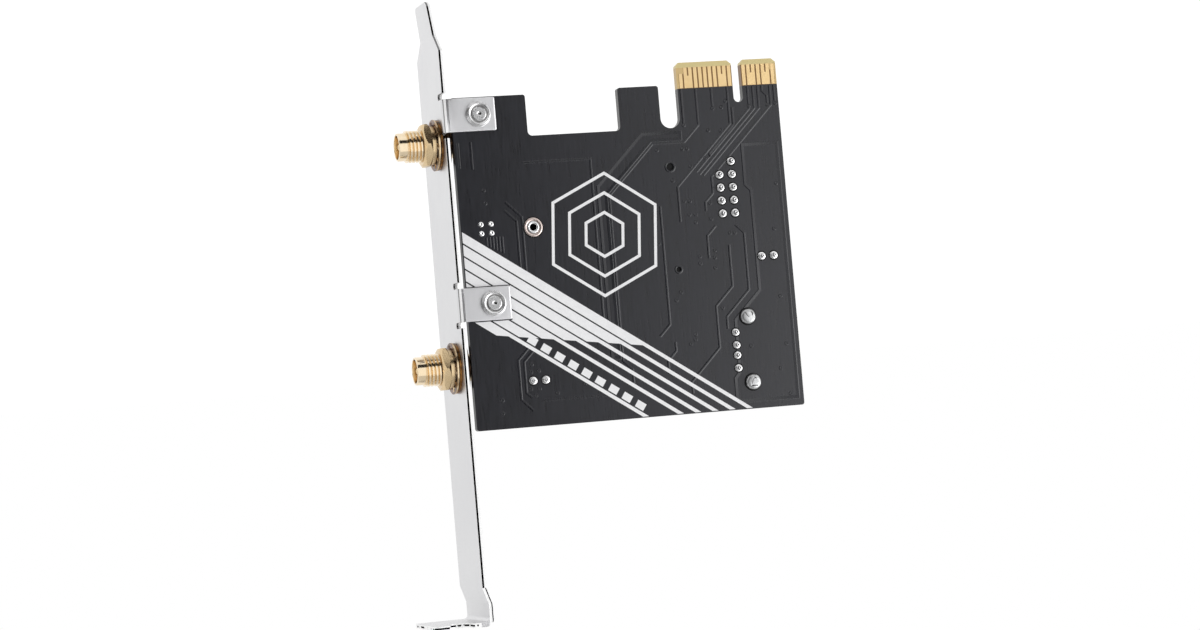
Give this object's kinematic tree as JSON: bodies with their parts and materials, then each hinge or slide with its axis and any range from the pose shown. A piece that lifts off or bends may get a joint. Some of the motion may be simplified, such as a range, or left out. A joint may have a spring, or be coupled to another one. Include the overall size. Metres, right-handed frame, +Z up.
{
  "type": "pcie wifi card",
  "caption": "Short expansion card with a full-height steel bracket, gold antenna ports, a gold contact edge and a plug-in wireless module on its part side.",
  "frame": {"origin": "centre of the key notch in the contact edge, at the tips of the contacts and halfway through the board", "axes": "+X along the card towards its bracket, +Y square to the board towards the side that carries the parts, +Z up from the slot towards the bracket's bent tab"},
  "size_m": [0.0784, 0.0184, 0.12],
  "materials": {
    "plated_steel": "bright plated sheet steel, satin",
    "screw_steel": "zinc-plated steel",
    "shield_steel": "tinned sheet steel",
    "gold_brass": "gold-plated turned brass",
    "gold_plate": "gold plating",
    "solder": "bright solder",
    "tin_plate": "tin plating",
    "black_board": "glass-fibre laminate under satin black solder mask",
    "module_laminate": "glass-fibre laminate under dark solder mask",
    "white_print": "white screen print",
    "black_plastic": "moulded black plastic",
    "white_plastic": "white fluoropolymer",
    "chip_plastic": "black moulding compound",
    "ferrite": "pressed ferrite powder",
    "tan_ceramic": "tan ceramic",
    "dark_ceramic": "dark glazed ceramic",
    "can_aluminium": "drawn aluminium",
    "bung_rubber": "rubber"
  },
  "bodies": {
    "root": {"antenna_port_lower_body": "gold_brass", "antenna_port_lower_centre_pin": "gold_plate", "antenna_port_lower_dielectric": "white_plastic", "antenna_port_lower_ferrule": "tin_plate", "antenna_port_lower_flat_washer": "gold_brass", "antenna_port_lower_lock_washer": "gold_brass", "antenna_port_lower_nut": "gold_brass", "antenna_port_upper_body": "gold_brass", "antenna_port_upper_centre_pin": "gold_plate", "antenna_port_upper_dielectric": "white_plastic", "antenna_port_upper_ferrule": "tin_plate", "antenna_port_upper_flat_washer": "gold_brass", "antenna_port_upper_lock_washer": "gold_brass", "antenna_port_upper_nut": "gold_brass", "bracket": "plated_steel", "bracket_screw_lower": "screw_steel", "bracket_screw_upper": "screw_steel", "capacitor_far_bung": "bung_rubber", "capacitor_far_can": "can_aluminium", "capacitor_far_leads": "tin_plate", "capacitor_near_bung": "bung_rubber", "capacitor_near_can": "can_aluminium", "capacitor_near_leads": "tin_plate", "capacitor_solder": "solder", "chip_capacitors": "tan_ceramic", "chip_ends": "tin_plate", "chip_resistors": "dark_ceramic", "circuit_board": "black_board", "edge_contacts_part_side": "gold_plate", "edge_contacts_solder_side": "gold_plate", "header_base": "black_plastic", "header_pins": "gold_plate", "header_solder": "solder", "inductor": "ferrite", "inductor_feet": "tin_plate", "module_board": "module_laminate", "module_jacks": "gold_plate", "module_screw": "screw_steel", "module_shield": "shield_steel", "module_socket": "black_plastic", "module_socket_tails": "tin_plate", "module_standoff": "tin_plate", "motif_print": "white_print", "regulator": "chip_plastic", "regulator_leads": "tin_plate", "stripe_print": "white_print", "tinned_pads": "solder", "usb_contacts": "gold_plate", "usb_insulator": "black_plastic", "usb_shell": "shield_steel", "usb_solder": "solder"}
  },
  "joints": []
}
